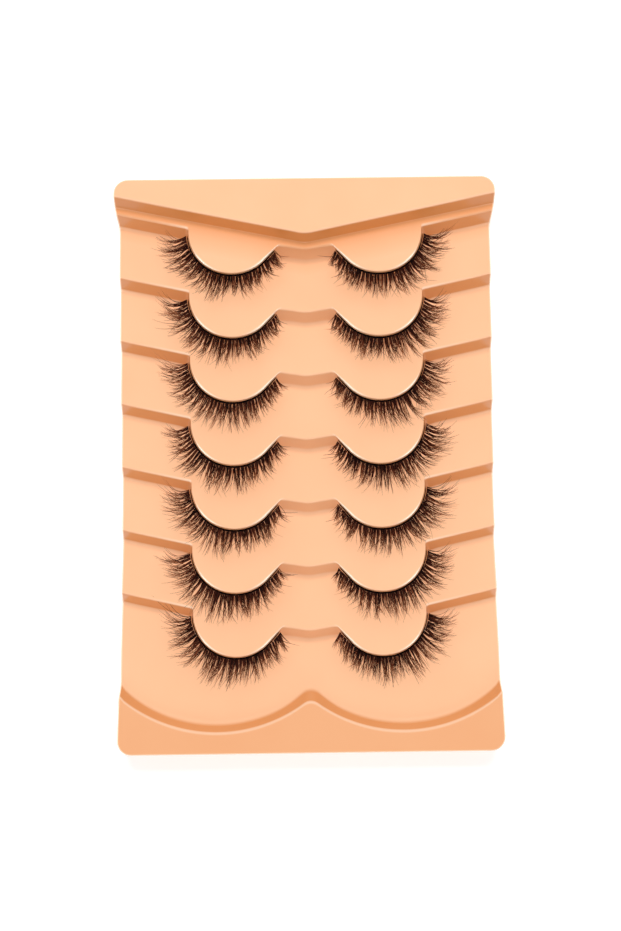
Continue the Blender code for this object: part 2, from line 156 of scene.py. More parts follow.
# Lashes; the tables hold a radial angle in degrees and a length or an upward sweep in millimetres
CURL_DIP = -3.2
CURL_RISE = 3.9
INNER_LEAN = 0.5
OUTER_LEAN = 0.84
LASH_LENGTHS = (
    (24.0, 4.2),
    (45.0, 5.4),
    (60.0, 6.3),
    (90.0, 7.9),
    (110.0, 8.9),
    (150.0, 9.3),
    (175.0, 9.2),
)
LASH_SWEEPS = (
    (24.0, -0.5),
    (60.0, -0.2),
    (90.0, 0.0),
    (120.0, 0.7),
    (150.0, 1.8),
    (175.0, 2.7),
)
GUIDE_STATIONS = 60
STRAIGHT_DOWN = 90.0
ROOT_OUT_SHARE = 0.8
SHELF_NORMAL_LENGTH = math.hypot(1.0, SHELF_SLOPE)
SHELF_NORMAL = (0.0, SHELF_SLOPE / SHELF_NORMAL_LENGTH, 1.0 / SHELF_NORMAL_LENGTH)
SEEDS_PER_ROW = 100
SEEDS_PER_SIDE = 50

# Ranges that chance picks from, for a clump or for one lash
FULL_RANGE = (0.0, 1.0)
EITHER_WAY_RANGE = (-1.0, 1.0)
CLUMP_JITTER_RANGE = (-0.35, 0.35)
CLUMP_ROOT_RANGE = (0.15, 0.85)
CLUMP_LENGTH_RANGE = (0.8, 1.12)
CLUMP_BEND_RANGE = (-0.7, 0.7)
LASH_LENGTH_RANGE = (0.62, 1.04)
LASH_BEND_RANGE = (-0.5, 0.5)
LASH_HOLD_RANGE = (0.7, 1.15)
LASH_SWEEP_RANGE = (0.4, 1.5)
LASH_CURL_RANGE = (0.7, 1.25)
MOST_HOLD = 0.96
TAPER_POWER = 1.6
TAPER_SHARE = 0.76
STRAND_SIDES = 3

# Formed plastic
TRAY_COLOUR = (0.88, 0.486, 0.276, 1.0)
TRAY_COLOUR_DEEP = (0.87, 0.468, 0.262, 1.0)
# Darker colour painted on steep walls: painted shade, with some deeper tone of sheet drawn thin
WALL_SHADE_COLOUR = (0.62, 0.19, 0.022, 1.0)
# Cream colour painted on rounded edges and the rim as a painted highlight
EDGE_HIGHLIGHT_COLOUR = (1.0, 0.86, 0.68, 1.0)
TRAY_FINISH = {"Roughness": 0.24, "Specular IOR Level": 0.5, "IOR": 1.5}
TRAY_CLOUDS = {"Scale": 45.0, "Detail": 2.0}
TRAY_CLOUD_STOPS = ((0.35, TRAY_COLOUR_DEEP), (0.65, TRAY_COLOUR))
TRAY_GRAIN = {"Scale": 900.0, "Detail": 2.0}
TRAY_RELIEF = {"Strength": 0.05, "Distance": 0.0002}
# Steepness, as the normal's upright part, where the painted wall shade starts and where it is full
FLAT_NORMAL = 0.9
WALL_NORMAL = 0.66
NORMAL_WEIGHT = 80

# Painted shadow of the ledge on the strip under it, by distance below the ledge's foot in metres
LEDGE_SHADOW_START = -0.001
LEDGE_SHADOW_END = 0.009
LEDGE_SHADOW_STOPS = ((0.0, 0.0), (0.1, 0.7), (0.27, 0.44), (0.45, 0.28), (1.0, 0.0))

# Knotted thread of the band
THREAD_COLOUR = (0.003, 0.002, 0.002, 1.0)
THREAD_STOPS = (
    (0.4, (0.0010, 0.0006, 0.0006, 1.0)),
    (0.7, (0.0035, 0.0018, 0.0016, 1.0)),
)
THREAD_FINISH = {"Roughness": 0.7, "Specular IOR Level": 0.01}
THREAD_TWIST = {"Scale": 5200.0, "Detail": 3.0}
THREAD_RELIEF = {"Strength": 0.5, "Distance": 0.0001}

# Lash fibre, and how much a lash's own shade and the way to its tip lighten it
FIBRE_COLOUR = (0.012, 0.004, 0.003, 1.0)
FIBRE_FINISH = {"Roughness": 0.5, "Specular IOR Level": 0.03}
TINT_WEIGHT = 0.7
TIP_WEIGHT = 0.5
FIBRE_STOPS = (
    (0.0, (0.003, 0.001, 0.0008, 1.0)),
    (0.35, (0.012, 0.003, 0.002, 1.0)),
    (0.65, (0.060, 0.013, 0.007, 1.0)),
    (0.9, (0.24, 0.065, 0.026, 1.0)),
    (1.0, (0.48, 0.19, 0.085, 1.0)),
)

# Photograph's view
IMAGE_HEIGHT = 931.0
FOCAL_PIXELS = 1424.19
SENSOR_HEIGHT = 36.0
CAMERA_PLACE = (-1.4, -3.61, 420.035)
CAMERA_PITCH = math.radians(0.445)
CAMERA_YAW = math.radians(-0.295)
CAMERA_ROLL = math.radians(-0.74)
CLIP_START = 0.01
CLIP_END = 10.0

# Studio, in metres and watts
KEY_POWER = 21.5
KEY_SIZE = 0.7
KEY_PLACE = (0.0, 0.95, 1.34)
FILL_POWER = 3.4
FILL_SIZE = 0.6
FILL_PLACE = (0.0, -0.8, 0.55)
LAMP_AIM = (0.0, 0.0, 0.0)
PANEL_RADIANCE = 4.5
PANEL_DISTANCE = 0.8
PANEL_WIDTH = 0.3
SIDE_ELEVATION = math.radians(34.0)
SIDE_HEIGHT = 0.42
SIDE_TURNS = (-34.0, -14.0, 6.0, 174.0, 194.0, 214.0)
WHITE = (1.0, 1.0, 1.0, 1.0)
WORLD_STRENGTH = 0.42
BACKDROP_STRENGTH = 1.0
FLOOR_COLOUR = (0.93, 0.93, 0.93, 1.0)
FLOOR_FINISH = {"Roughness": 0.9, "Specular IOR Level": 0.1}
FLOOR_HALF = 0.7
FLOOR_GLOW = 0.36
FLOOR_DROP = 0.00005

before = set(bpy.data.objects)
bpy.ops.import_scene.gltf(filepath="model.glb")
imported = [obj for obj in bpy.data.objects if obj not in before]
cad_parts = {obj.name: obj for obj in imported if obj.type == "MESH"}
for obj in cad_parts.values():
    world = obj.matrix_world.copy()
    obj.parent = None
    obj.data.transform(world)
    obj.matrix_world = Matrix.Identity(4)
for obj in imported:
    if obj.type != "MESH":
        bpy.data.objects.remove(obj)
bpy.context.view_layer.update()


def smoothstep(start, end, value):
    """Zero before the start, one past the end, smooth between them."""
    share = min(1.0, max(0.0, (value - start) / (end - start)))
    return share * share * (3.0 - 2.0 * share)


def base_half_width(y):
    """Half width of the tray at its base."""
    width = WAIST_HALF_WIDTH
    width += LEDGE_FLARE * smoothstep(LEDGE_FLARE_START, LEDGE_FLARE_END, y)
    width += LOWER_FLARE * smoothstep(LOWER_FLARE_START, LOWER_FLARE_END, y)
    width += PLATEAU_FLARE * smoothstep(PLATEAU_FLARE_START, PLATEAU_FLARE_END, y)
    return width


def side_x(y, z):
    """Half width of the drafted side wall at a height."""
    return base_half_width(y) - SIDE_DRAFT * z


def row_centre(row):
    """Y of a step's edge on the centre line."""
    return FIRST_STEP_Y - (row - 1) * ROW_PITCH


def shelf_height(index, y):
    """Height of inclined plane number index, 0 being the strip under the ledge."""
    return STEP_CENTRE_HEIGHT + SHELF_SLOPE * (FIRST_STEP_Y - index * ROW_PITCH - y)


def ledge_height(y):
    """Height of the top ledge, parallel to the shelves."""
    return LEDGE_POINT_HEIGHT - SHELF_SLOPE * (y - LEDGE_POINT_Y)


def last_shelf_height(y):
    """Height of the last shelf, which flattens toward the plateau."""
    if y >= FLATTEN_START_Y:
        return shelf_height(ROWS, y)
    run = min(FLATTEN_START_Y - y, FLATTEN_LENGTH)
    rise = SHELF_SLOPE * (run - run * run / (2.0 * FLATTEN_LENGTH))
    return shelf_height(ROWS, FLATTEN_START_Y) + rise


def plateau_level(y):
    """Height of the flat plateau, the same at every y."""
    return PLATEAU_HEIGHT


def side_reach(line, height):
    """Where a line meets the drafted side wall, at the height of the surface it lies on."""
    reach = SIDE_EDGE_X
    for _ in range(SIDE_ROUNDS):
        y = line(reach)
        reach = side_x(y, height(y))
    return reach


def between(start, end, share):
    """Point a share of the way from start to end."""
    return tuple(a + (b - a) * share for a, b in zip(start, end))


def moved(point, way, run):
    """Point in plan moved by a run along a way."""
    return (point[0] + run * way[0], point[1] + run * way[1])


def quadratic(start, middle, end, t):
    """Point on a smooth curve that leaves start toward middle and arrives at end from it."""
    first, second, third = (1.0 - t) * (1.0 - t), 2.0 * t * (1.0 - t), t * t
    return tuple(first * a + second * b + third * c for a, b, c in zip(start, middle, end))


def corner_curve(before, corner, after, steps):
    """Smooth points from before to after round a corner, both ends included."""
    return [quadratic(before, corner, after, index / steps) for index in range(steps + 1)]


def mirrored(half):
    """Full curve from the left side to the right side, from its right half."""
    left = [(-x, y) for x, y in reversed(half) if x > 0.0]
    return left + list(half)


def rounded_centre(start_y, slope, rounding):
    """Right half of a rounded V at the centre line."""
    edge_y = start_y + slope * rounding
    points = []
    for index in range(CORNER_STEPS + 1):
        t = 0.5 + 0.5 * index / CORNER_STEPS
        points.append(quadratic((-rounding, edge_y), (0.0, start_y), (rounding, edge_y), t))
    points[0] = (0.0, points[0][1])
    return points


def straight_points(start_x, end_x, line):
    """Points along a line past its start, closer together there, and its end."""
    middles = [start_x + (end_x - start_x) * share for share in STRAIGHT_SHARES]
    return [(x, line(x)) for x in middles + [end_x]]


def around(centre, radius, angle):
    """Point on a circle."""
    return moved(centre, (math.cos(angle), math.sin(angle)), radius)


def lobe_flank(centre, radius, chevron):
    """Where the straight flank leaves a lobe, which way it runs, and how far to the chevron line."""
    normal = (math.cos(LOBE_TANGENT_ANGLE), math.sin(LOBE_TANGENT_ANGLE))
    along = (normal[1], -normal[0])
    tangent = around(centre, radius, LOBE_TANGENT_ANGLE)
    run = (chevron(tangent[0]) - tangent[1]) / (along[1] - CHEVRON_SLOPE * along[0])
    return tangent, along, run


def step_half(row, foot):
    """Right half of a step's edge, or of its foot, from the centre line to the side."""
    yc = row_centre(row)
    shift = STEP_FOOT_SHIFT if foot else 0.0
    radius = LOBE_RADIUS + (LOBE_WALL_SHIFT if foot else 0.0)
    inner_trim = INNER_FOOT_TRIM if foot else INNER_CORNER_TRIM
    outer_trim = OUTER_FOOT_TRIM if foot else OUTER_CORNER_TRIM
    centre = (LOBE_X, yc + LOBE_Y)

    def chevron(x):
        return yc - shift + CHEVRON_SLOPE * x

    def side_line(x):
        return yc - shift + SIDE_EDGE_Y + SIDE_EDGE_SLOPE * (x - SIDE_EDGE_X)

    # Straight flank between the lobe and the inner corner
    tangent, along, run = lobe_flank(centre, radius, chevron)
    inner = moved(tangent, along, run)
    inner_x = inner[0] - inner_trim / math.hypot(1.0, CHEVRON_SLOPE)
    before = (inner_x, chevron(inner_x))
    after = moved(inner, along, -inner_trim)
    points = rounded_centre(yc - shift, CHEVRON_SLOPE, CHEVRON_ROUNDING)
    for share in reversed(STRAIGHT_SHARES):
        x = CHEVRON_ROUNDING + (inner_x - CHEVRON_ROUNDING) * (1.0 - share)
        points.append((x, chevron(x)))
    points += corner_curve(before, inner, after, CORNER_STEPS)

    # Outer corner, where the lobe meets the side edge
    if foot:
        angle = LOBE_OUTER_ANGLE
        for _ in range(SIDE_ROUNDS):
            x = centre[0] + radius * math.cos(angle)
            drop = (side_line(x) - centre[1]) / radius
            angle = LOBE_OUTER_ANGLE + math.asin(max(-1.0, min(1.0, drop)))
        outer = around(centre, radius, angle)
        end_angle = angle - outer_trim / radius
        start_outer = around(centre, radius, end_angle)
    else:
        outer = (centre[0] + radius, side_line(centre[0] + radius))
        end_angle = LOBE_OUTER_ANGLE
        start_outer = (outer[0], outer[1] - outer_trim)
    end_outer_x = outer[0] + outer_trim / math.hypot(1.0, SIDE_EDGE_SLOPE)
    end_outer = (end_outer_x, side_line(end_outer_x))

    # Lobe arc, with the foot's last part drawn together so that it ends at its own corner
    for index in range(LOBE_ARC_STEPS):
        share = index / (LOBE_ARC_STEPS - 1)
        angle = LOBE_TANGENT_ANGLE + share * (LOBE_OUTER_ANGLE - LOBE_TANGENT_ANGLE)
        if foot and angle > LOBE_REMAP_ANGLE:
            past = (angle - LOBE_REMAP_ANGLE) / (LOBE_OUTER_ANGLE - LOBE_REMAP_ANGLE)
            last = end_angle - FOOT_ARC_END_SHARE * outer_trim / radius
            angle = LOBE_REMAP_ANGLE + past * (last - LOBE_REMAP_ANGLE)
        points.append(around(centre, radius, angle))
    points += corner_curve(start_outer, outer, end_outer, CORNER_STEPS)

    # Side end, on the drafted side wall
    reach = side_reach(side_line, partial(shelf_height, row if foot else row - 1))
    return points + straight_points(end_outer_x, reach, side_line)


def ledge_half(foot):
    """Right half of the ledge's V edge, or of its foot."""
    start = LEDGE_FOOT_Y if foot else LEDGE_POINT_Y
    slope = LEDGE_FOOT_SLOPE if foot else LEDGE_V_SLOPE

    def line(x):
        return start + slope * x

    reach = side_reach(line, partial(shelf_height, 0) if foot else ledge_height)
    points = rounded_centre(start, slope, LEDGE_ROUNDING)
    return points + straight_points(LEDGE_ROUNDING, reach, line)


def plateau_edge_y(x):
    """Y of the plateau's edge: one arc on each side of a rounded peak."""
    rise = PLATEAU_PEAK_Y - PLATEAU_ARC_Y
    radius = (PLATEAU_ARC_X * PLATEAU_ARC_X + rise * rise) / (2.0 * rise)

    def arc(distance):
        run = distance - PLATEAU_ARC_X
        return PLATEAU_ARC_Y + radius - math.sqrt(radius * radius - run * run)

    distance = abs(x)
    if distance >= PLATEAU_PEAK_TRIM:
        return arc(distance)
    slope = (arc(PLATEAU_PEAK_TRIM + PEAK_SLOPE_RUN) - arc(PLATEAU_PEAK_TRIM)) / PEAK_SLOPE_RUN
    bend = slope / (2.0 * PLATEAU_PEAK_TRIM)
    return arc(PLATEAU_PEAK_TRIM) + bend * (distance * distance - PLATEAU_PEAK_TRIM * PLATEAU_PEAK_TRIM)


def plateau_half(foot):
    """Right half of the plateau's edge, or of its foot on the last shelf."""

    def line_y(x):
        if not foot:
            return plateau_edge_y(x)
        near_peak = 1.0 - smoothstep(0.0, PLATEAU_PEAK_SHIFT_WIDTH, x)
        return plateau_edge_y(x) + PLATEAU_WALL_SHIFT + PLATEAU_PEAK_SHIFT * near_peak

    reach = side_reach(line_y, last_shelf_height if foot else plateau_level)
    points = []
    for index in range(PLATEAU_ARC_STEPS + 1):
        x = reach * (index / PLATEAU_ARC_STEPS) ** PLATEAU_POINT_POWER
        points.append((x, line_y(x)))
    return points


def step_foot_reaches(points):
    """How far a step's rounded foot reaches at each point: far on straight parts, near at the lobes."""
    values = []
    for x, _ in points:
        inner_gap = LOBE_X - LOBE_RADIUS - abs(x)
        outer_gap = abs(x) - LOBE_X - LOBE_RADIUS - LOBE_WALL_SHIFT
        share = smoothstep(0.0, FOOT_ROUNDING_RAMP, max(inner_gap, outer_gap))
        values.append(LOBE_FOOT_ROUNDING + share * (FOOT_ROUNDING - LOBE_FOOT_ROUNDING))
    return values


def step_tones(points):
    """How strongly painted shade darkens each point of a step's wall: less between the lobes."""
    values = []
    for x, _ in points:
        share = smoothstep(CHEVRON_TONE_END, SIDE_TONE_START, abs(x))
        values.append(CHEVRON_TONE + share * (SIDE_TONE - CHEVRON_TONE))
    return values


def arch(index, steps):
    """Strength across a rounding: none at both ends, full in the middle."""
    return math.sin(math.pi * index / steps)


class TraySheet:
    """The tray's upper skin, built curve by curve, with its rim."""

    def __init__(self):
        self.mesh = bmesh.new()
        self.mesh.verts.layers.float.new("wall_tone")
        self.mesh.verts.layers.float.new("painted_edge_highlight")
        self.tone = self.mesh.verts.layers.float["wall_tone"]
        self.edge_highlight = self.mesh.verts.layers.float["painted_edge_highlight"]
        self.rims = {-1: [], 1: []}

    def vertex(self, place):
        """A vertex at a place given in millimetres."""
        return self.mesh.verts.new(tuple(value * MM for value in place))

    def note_rim(self, side, vertex, corner, base):
        """Keep a point of the rim with the sharp corner outside it and the base below it."""
        self.rims[side].append((vertex, corner, base))

    def side_point(self, side, y, z):
        """A rim point on one side, a rounding's width inside the wall."""
        x = side_x(y, z)
        vertex = self.vertex((side * (x - RIM_ROUNDING), y, z))
        self.note_rim(side, vertex, (side * x, y, z), (side * base_half_width(y), y, side, 0.0))
        return vertex

    def row(self, places):
        """A full curve of vertices whose two ends are rim points."""
        first, last = places[0], places[-1]
        vertices = [self.side_point(-1, first[1], first[2])]
        vertices += [self.vertex(place) for place in places[1:-1]]
        vertices.append(self.side_point(1, last[1], last[2]))
        return vertices

    def strip(self, upper, lower):
        """Faces between two rows with as many vertices each."""
        for index in range(len(upper) - 1):
            self.mesh.faces.new((upper[index], upper[index + 1], lower[index + 1], lower[index]))

    def wall(self, upper, upper_height, lower, lower_height, reaches, tones, edge_highlights):
        """Rounded edge, wall and rounded foot between two curves; returns its first and last rows."""
        straight, flank = edge_highlights
        columns, strengths = [], []
        for (ux, uy), (lx, ly), reach in zip(upper, lower, reaches):
            top = (ux, uy, upper_height(uy))
            foot = (lx, ly, lower_height(ly))
            length = math.dist(top, foot)
            plan = math.hypot(lx - ux, ly - uy)
            dx, dy = (lx - ux) / plan, (ly - uy) / plan
            behind_y = uy - dy * EDGE_ROUNDING
            behind = (ux - dx * EDGE_ROUNDING, behind_y, upper_height(behind_y))
            down = between(top, foot, EDGE_ROUNDING / length)
            up = between(foot, top, reach / length)
            ahead_y = ly + dy * reach
            ahead = (lx + dx * reach, ahead_y, lower_height(ahead_y))
            edge_curve = corner_curve(behind, top, down, EDGE_STEPS)
            columns.append(edge_curve + corner_curve(up, foot, ahead, FOOT_STEPS))
            # Painted highlight along the rounded edge, strongest where the edge flanks a lobe
            flanking = smoothstep(FLANK_START, FLANK_END, abs(dx))
            strengths.append(straight + (flank - straight) * flanking)
        built = [self.row(places) for places in zip(*columns)]
        for index, vertices in enumerate(built):
            edge_share = arch(index, EDGE_STEPS) if index <= EDGE_STEPS else 0.0
            for vertex, tone, strength in zip(vertices, tones, strengths):
                vertex[self.tone] = tone
                vertex[self.edge_highlight] = strength * edge_share
        for first, second in zip(built, built[1:]):
            self.strip(first, second)
        return built[0], built[-1]

    def shelf(self, upper, lower, height, count):
        """One flat shelf between two rows, with count extra rim points on each side."""
        start_y, end_y = upper[-1].co.y / MM, lower[-1].co.y / MM
        left, right = [], []
        for index in range(1, count + 1):
            y = start_y + (end_y - start_y) * index / (count + 1)
            left.append(self.side_point(-1, y, height(y)))
            right.append(self.side_point(1, y, height(y)))
        self.mesh.faces.new(list(upper) + right + list(reversed(lower)) + list(reversed(left)))

    def rim(self):
        """Rim points in order down the right side and back up the left side."""
        right, left = (sorted(self.rims[side], key=lambda note: -note[1][1]) for side in (1, -1))
        return right + list(reversed(left))


def corner_points(centre_y, sign_y, radius, height, across_y):
    """Right corner of the outline, from its side to its back or front edge."""
    centre_x = base_half_width(across_y) - radius
    points = []
    for index in range(CORNER_ARC_STEPS + 1):
        angle = 0.5 * math.pi * index / CORNER_ARC_STEPS
        nx, ny = math.cos(angle), sign_y * math.sin(angle)
        bx, by = centre_x + radius * nx, centre_y + radius * ny
        z = height(by)
        for _ in range(CORNER_ROUNDS):
            z = height(by - ny * SIDE_DRAFT * z)
        inset = SIDE_DRAFT * z
        corner = (bx - nx * inset, by - ny * inset, z)
        inner_y = by - ny * (inset + RIM_ROUNDING)
        inner = (bx - nx * (inset + RIM_ROUNDING), inner_y, height(inner_y))
        points.append((inner, corner, (bx, by, nx, ny)))
    return points


def add_corner(sheet, points):
    """Vertices of a corner on both sides, noted as rim points; returns left and right lists."""
    built = {-1: [], 1: []}
    for inner, corner, (bx, by, nx, ny) in points:
        for side in (1, -1):
            vertex = sheet.vertex((side * inner[0], *inner[1:]))
            base = (side * bx, by, side * nx, ny)
            sheet.note_rim(side, vertex, (side * corner[0], *corner[1:]), base)
            built[side].append(vertex)
    return built[-1], built[1]


def add_last_shelf(sheet, start_row, foot, end_row):
    """Last shelf: its plane part, then the part that flattens toward the plateau."""
    reach = side_x(FLATTEN_START_Y, last_shelf_height(FLATTEN_START_Y))
    line = [(reach * x / foot[-1][0], FLATTEN_START_Y) for x, _ in foot]
    ends = [(vertex.co.x / MM, vertex.co.y / MM) for vertex in end_row]
    previous = sheet.row([(x, y, last_shelf_height(y)) for x, y in line])
    sheet.shelf(start_row, previous, last_shelf_height, SHELF_RIM_POINTS)
    for step in range(1, FLATTEN_ROWS):
        places = []
        for start, end in zip(line, ends):
            x, y = between(start, end, step / FLATTEN_ROWS)
            places.append((x, y, last_shelf_height(y)))
        current = sheet.row(places)
        sheet.strip(previous, current)
        previous = current
    sheet.strip(previous, end_row)


def add_sides(sheet):
    """Rounded rim, side walls and skirt all round."""
    skirt_inset = SIDE_DRAFT * SKIRT_HEIGHT
    columns = []
    for vertex, corner, (bx, by, nx, ny) in sheet.rim():
        inner = tuple(value / MM for value in vertex.co)
        low_z = corner[2] - RIM_ROUNDING
        inset = SIDE_DRAFT * low_z
        below = (bx - nx * inset, by - ny * inset, low_z)
        skirt = (bx - nx * skirt_inset, by - ny * skirt_inset)
        column = [vertex]
        # Painted highlight along the middle of the rim's rounding
        for index in range(1, RIM_STEPS + 1):
            point = sheet.vertex(quadratic(inner, corner, below, index / RIM_STEPS))
            point[sheet.edge_highlight] = RIM_HIGHLIGHT * arch(index, RIM_STEPS)
            column.append(point)
        column.append(sheet.vertex((*skirt, SKIRT_HEIGHT)))
        column.append(sheet.vertex((*skirt, 0.0)))
        # Painted shade on the rim's rounding, the side walls and the skirt
        for point in column[1:]:
            point[sheet.tone] = OUTSIDE_TONE
        columns.append(column)
    for here, there in zip(columns, columns[1:] + columns[:1]):
        for level in range(len(here) - 1):
            sheet.mesh.faces.new((here[level], here[level + 1], there[level + 1], there[level]))


def build_tray_skin():
    """The whole upper skin with its rounded edges, soft feet, side walls and skirt."""
    sheet = TraySheet()
    back_y = HALF_LENGTH - BACK_CORNER_RADIUS
    back = corner_points(back_y, 1.0, BACK_CORNER_RADIUS, ledge_height, HALF_LENGTH)
    back_left, back_right = add_corner(sheet, list(reversed(back)))

    # Ledge and its V-shaped wall
    edge, foot = mirrored(ledge_half(False)), mirrored(ledge_half(True))
    reaches, tones = [LEDGE_FOOT_ROUNDING] * len(foot), [LEDGE_TONE] * len(foot)
    below = partial(shelf_height, 0)
    first, last = sheet.wall(edge, ledge_height, foot, below, reaches, tones, LEDGE_EDGE_HIGHLIGHT)
    sheet.mesh.faces.new(list(reversed(back_left)) + back_right + list(reversed(first)))

    # Seven steps, each with its shelf
    for row in range(1, ROWS + 1):
        edge, foot = mirrored(step_half(row, False)), mirrored(step_half(row, True))
        reaches, tones = step_foot_reaches(foot), step_tones(foot)
        above, below = partial(shelf_height, row - 1), partial(shelf_height, row)
        previous = last
        first, last = sheet.wall(edge, above, foot, below, reaches, tones, STEP_EDGE_HIGHLIGHT)
        sheet.shelf(previous, first, above, 0 if row == 1 else SHELF_RIM_POINTS)

    # Plateau, its wall up from the last shelf, and its front corners
    edge, foot = mirrored(plateau_half(False)), mirrored(plateau_half(True))
    reaches, tones = [FOOT_ROUNDING] * len(foot), [PLATEAU_TONE] * len(foot)
    above, below = plateau_level, last_shelf_height
    previous = last
    first, last = sheet.wall(edge, above, foot, below, reaches, tones, PLATEAU_EDGE_HIGHLIGHT)
    add_last_shelf(sheet, previous, foot, last)
    front_y = FRONT_CORNER_RADIUS - HALF_LENGTH
    front = corner_points(front_y, -1.0, FRONT_CORNER_RADIUS, plateau_level, -HALF_LENGTH)
    front_left, front_right = add_corner(sheet, front)
    sheet.mesh.faces.new(first + front_right + list(reversed(front_left)))

    add_sides(sheet)
    bmesh.ops.recalc_face_normals(sheet.mesh, faces=sheet.mesh.faces)
    largest = max(sheet.mesh.faces, key=lambda face: face.calc_area())
    if largest.normal.z < 0.0:
        bmesh.ops.reverse_faces(sheet.mesh, faces=sheet.mesh.faces)
    return sheet.mesh


def scene_object(name, data):
    """An object in the scene for a mesh, a lamp or a camera."""
    item = bpy.data.objects.new(name, data)
    bpy.context.scene.collection.objects.link(item)
    return item


def mesh_object(name, mesh, material):
    """A finished bmesh as an object in the scene."""
    data = bpy.data.meshes.new(name)
    mesh.to_mesh(data)
    mesh.free()
    data.materials.append(material)
    return scene_object(name, data)


def settle(item):
    """Apply an object's modifiers, so that what is left is a plain mesh."""
    graph = bpy.context.evaluated_depsgraph_get()
    data = bpy.data.meshes.new_from_object(item.evaluated_get(graph), depsgraph=graph)
    data.name = item.name
    item.modifiers.clear()
    item.data = data


def note_drawn_walls(item):
    """Attribute of painted shade, with some deeper tone of sheet drawn thin: none on flats, the wall's
    own tone on steep walls, a little on the plateau top.
    """
    data = item.data
    data.attributes.new("drawn", "FLOAT", "POINT")
    plateau_start_y = FLATTEN_START_Y * MM
    plateau_low_z = (PLATEAU_HEIGHT - RIM_ROUNDING) * MM
    for vertex in data.vertices:
        drawn = smoothstep(-FLAT_NORMAL, -WALL_NORMAL, -abs(vertex.normal.z))
        tone = drawn * data.attributes["wall_tone"].data[vertex.index].value
        # Painted shade: the plateau top is darkened a little
        if vertex.co.y < plateau_start_y and vertex.co.z > plateau_low_z:
            tone = max(tone, PLATEAU_TOP_SHADE)
        data.attributes["drawn"].data[vertex.index].value = tone


def strip_name(row, side):
    """L or R for the side in the photograph, and the row's number."""
    return ("R" if side > 0 else "L") + str(row)


def lobe_station(row, share):
    """Place at a share of the band, 0 at its outer end.

    Returns the point on the lobe's edge, the outward normal in plan, the radial angle in
    degrees, and the band's whole length.
    """
    yc = row_centre(row)
    centre = (LOBE_X, yc + LOBE_Y)
    tangent, along, flank_run = lobe_flank(centre, LOBE_RADIUS, lambda x: yc + CHEVRON_SLOPE * x)
    arc_length = LOBE_RADIUS * (BAND_OUTER_ANGLE - LOBE_TANGENT_ANGLE)
    total = arc_length + flank_run - BAND_INNER_GAP
    distance = share * total
    if distance <= arc_length:
        angle = BAND_OUTER_ANGLE - distance / LOBE_RADIUS
        outward = (math.cos(angle), math.sin(angle))
        point = around(centre, LOBE_RADIUS, angle)
    else:
        run = distance - arc_length
        outward = (math.cos(LOBE_TANGENT_ANGLE), math.sin(LOBE_TANGENT_ANGLE))
        point = moved(tangent, along, run)
    radial = math.atan2(-(point[1] - centre[1]), -(point[0] - centre[0]))
    return point, outward, math.degrees(radial), total


def wall_point(row, share, depth, out):
    """Point at a depth below the lobe's edge, measured down its wall, and a distance out from it."""
    point, outward, _, _ = lobe_station(row, share)
    edge_z = shelf_height(row - 1, point[1])
    foot_y = point[1] + LOBE_WALL_SHIFT * outward[1]
    fall = edge_z - shelf_height(row, foot_y)
    length = math.hypot(LOBE_WALL_SHIFT, fall)
    down_plan, down_z = LOBE_WALL_SHIFT / length, -fall / length
    out_plan, out_z = fall / length, LOBE_WALL_SHIFT / length
    plan = depth * down_plan + out * out_plan
    x = point[0] + plan * outward[0]
    y = point[1] + plan * outward[1]
    return (x, y, edge_z + depth * down_z + out * out_z)


def grown(start_share, run, distance):
    """Share of the full size at a distance from an end, from the share at the end itself."""
    return start_share + (1.0 - start_share) * smoothstep(0.0, run, distance)


def build_band(row, side, material):
    """Rounded band with the small knots that tie the lashes to it."""
    mesh = bmesh.new()
    rings = []
    middle_depth = BAND_TOP_DEPTH + 0.5 * BAND_HEIGHT
    for station in range(BAND_STATIONS + 1):
        share = station / BAND_STATIONS
        _, _, _, total = lobe_station(row, share)
        knot = math.cos(2.0 * math.pi * share * total / BAND_KNOT_PITCH)
        swell = 1.0 - BAND_KNOT_SWELL + BAND_KNOT_SWELL * knot
        end_gap = min(share, 1.0 - share) * total
        swell *= grown(BAND_TIP_SHARE, BAND_TIP_RUN, end_gap)
        thickness = BAND_THICKNESS * grown(BAND_END_SHARE, BAND_END_RUN, end_gap)
        middle_out = BAND_GAP + 0.5 * thickness
        ring = []
        for corner in range(BAND_SECTION):
            angle = 2.0 * math.pi * (corner + 0.5) / BAND_SECTION
            across, up = math.cos(angle), math.sin(angle)
            bulge = BAND_SECTION_SHARE * max(abs(across), abs(up)) ** BAND_SECTION_POWER
            out = middle_out + 0.5 * thickness * across * swell * bulge
            depth = middle_depth - 0.5 * BAND_HEIGHT * up * swell * bulge
            x, y, z = wall_point(row, share, depth, out)
            ring.append(mesh.verts.new((side * x * MM, y * MM, z * MM)))
        rings.append(ring)
    for first, second in zip(rings, rings[1:]):
        for corner in range(BAND_SECTION):
            after = (corner + 1) % BAND_SECTION
            face = mesh.faces.new((first[corner], first[after], second[after], second[corner]))
            face.smooth = True
    mesh.faces.new(rings[0])
    mesh.faces.new(rings[-1])
    bmesh.ops.recalc_face_normals(mesh, faces=mesh.faces)
    return mesh_object("band_thread_" + strip_name(row, side), mesh, material)


def by_radial(table, radial):
    """Value at a radial angle, from a table of angles and values."""
    first = table[0]
    if radial <= first[0]:
        return first[1]
    for second in table[1:]:
        if radial <= second[0]:
            share = (radial - first[0]) / (second[0] - first[0])
            return first[1] + share * (second[1] - first[1])
        first = second
    return first[1]


